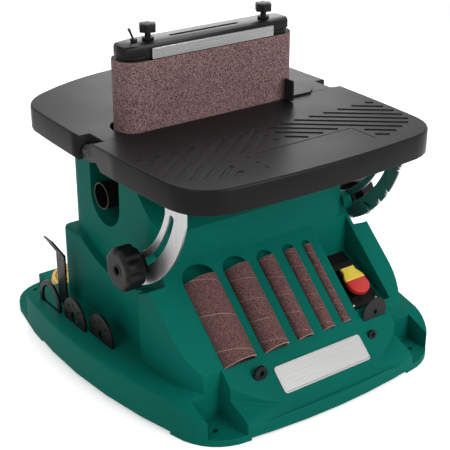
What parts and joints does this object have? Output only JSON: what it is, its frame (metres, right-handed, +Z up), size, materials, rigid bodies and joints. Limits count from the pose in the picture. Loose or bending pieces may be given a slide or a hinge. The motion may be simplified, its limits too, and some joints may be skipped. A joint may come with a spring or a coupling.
{
  "type": "oscillating belt and spindle sander",
  "caption": "Bench sander with a moulded base, a split table whose front half tilts, an upright oscillating belt unit, a paddle switch and stored sleeves, inserts, washers and wrench.",
  "frame": {"origin": "on the floor under the middle of the base's box, the free lead left out", "axes": "+X to the operator's right, +Y from the tilting front half towards the rear, +Z up"},
  "size_m": [0.4786, 0.532, 0.4648],
  "materials": {
    "green_moulding": "satin moulded green",
    "table_casting": "black powder coat on cast aluminium",
    "black_plastic": "satin black",
    "gloss_black": "gloss black",
    "brushed_steel": "brushed zinc plate",
    "dark_steel": "black oxide",
    "motor_casing": "dark painted casing",
    "cast_aluminium": "as cast",
    "gear_bronze": "machined bronze",
    "drum_rubber": "matt rubber",
    "abrasive_cloth": "coated abrasive cloth",
    "switch_red": "gloss red",
    "switch_yellow": "gloss yellow",
    "lead_yellow": "satin yellow sheath"
  },
  "bodies": {
    "base": {"base_housing": "green_moulding", "rear_table": "table_casting", "hinge_pin_left": "brushed_steel", "hinge_pin_right": "brushed_steel", "dust_port": "black_plastic", "work_stop": "dark_steel", "motor_body": "motor_casing", "motor_mount": "cast_aluminium", "bearing_carrier": "cast_aluminium", "gear_bracket": "brushed_steel", "switch_plate": "black_plastic", "sanding_sleeve_1": "abrasive_cloth", "sanding_sleeve_2": "abrasive_cloth", "sanding_sleeve_3": "abrasive_cloth", "sanding_sleeve_4": "abrasive_cloth", "sanding_sleeve_5": "abrasive_cloth", "table_insert_1": "black_plastic", "table_insert_2": "black_plastic", "table_insert_3": "black_plastic", "spindle_washer_1": "dark_steel", "spindle_washer_2": "dark_steel", "spindle_washer_3": "dark_steel", "spindle_wrench": "dark_steel", "cord_gland": "black_plastic", "cord_lead": "lead_yellow", "cord_coil": "lead_yellow", "cord_tail": "lead_yellow", "power_plug": "lead_yellow"},
    "tilt_table": {"front_table": "table_casting", "quadrant_left": "brushed_steel", "quadrant_right": "brushed_steel"},
    "left_lock": {"lock_knob_left": "black_plastic"},
    "right_lock": {"lock_knob_right": "black_plastic"},
    "carriage": {"belt_frame": "cast_aluminium", "idler_axle": "brushed_steel", "belt_cover": "gloss_black", "sanding_belt": "abrasive_cloth"},
    "spindle": {"spindle_shaft": "brushed_steel", "drive_drum": "drum_rubber"},
    "idler": {"idler_drum": "cast_aluminium"},
    "tracking": {"tracking_knob": "black_plastic"},
    "clamp": {"clamp_knob": "black_plastic"},
    "tension": {"tension_lever": "brushed_steel"},
    "gear": {"oscillation_gear": "gear_bronze"},
    "paddle": {"switch_paddle": "switch_red"},
    "key": {"safety_key": "switch_yellow"}
  },
  "joints": [
    {"name": "table_tilt", "type": "hinge", "parent": "base", "child": "tilt_table", "pos_m": [0, -0.002, 0.318], "axis": [1, 0, 0], "range_deg": [0, 45]},
    {"name": "left_lock_turn", "type": "hinge", "parent": "base", "child": "left_lock", "pos_m": [-0.19, -0.07006, 0.18209], "axis": [-1, 0, 0], "range_deg": [0, 360]},
    {"name": "right_lock_turn", "type": "hinge", "parent": "base", "child": "right_lock", "pos_m": [0.19, -0.07006, 0.18209], "axis": [1, 0, 0], "range_deg": [0, 360]},
    {"name": "carriage_stroke", "type": "slide", "parent": "base", "child": "carriage", "axis": [0, 0, 1], "range_m": [-0.008, 0.008]},
    {"name": "spindle_spin", "type": "hinge", "parent": "carriage", "child": "spindle", "pos_m": [0.09774, 0.016, 0.318], "axis": [0, 0, 1], "continuous": true},
    {"name": "idler_spin", "type": "hinge", "parent": "carriage", "child": "idler", "pos_m": [-0.12574, 0.016, 0.318], "axis": [0, 0, 1], "continuous": true},
    {"name": "gear_turn", "type": "hinge", "parent": "base", "child": "gear", "pos_m": [0.05874, 0.016, 0.217], "axis": [0, 1, 0], "continuous": true},
    {"name": "tracking_turn", "type": "hinge", "parent": "carriage", "child": "tracking", "pos_m": [-0.10099, 0.016, 0.4538], "axis": [0, 0, 1], "range_deg": [-180, 180]},
    {"name": "clamp_turn", "type": "hinge", "parent": "carriage", "child": "clamp", "pos_m": [0.08399, 0.016, 0.4538], "axis": [0, 0, 1], "range_deg": [0, 360]},
    {"name": "tension_turn", "type": "hinge", "parent": "carriage", "child": "tension", "pos_m": [-0.12199, 0.016, 0.4441], "axis": [0, 0, 1], "range_deg": [0, 90]},
    {"name": "paddle_lift", "type": "hinge", "parent": "base", "child": "paddle", "pos_m": [0.122, -0.13525, 0.10835], "axis": [-1, 0, 0], "range_deg": [0, 12]},
    {"name": "key_pull", "type": "slide", "parent": "paddle", "child": "key", "axis": [0, -0.454, 0.891], "range_m": [0, 0.015]}
  ],
  "couplings": [
    {"joint": "idler_spin", "follows": "spindle_spin", "ratio": 1},
    {"joint": "gear_turn", "follows": "spindle_spin", "ratio": 0.033333}
  ]
}
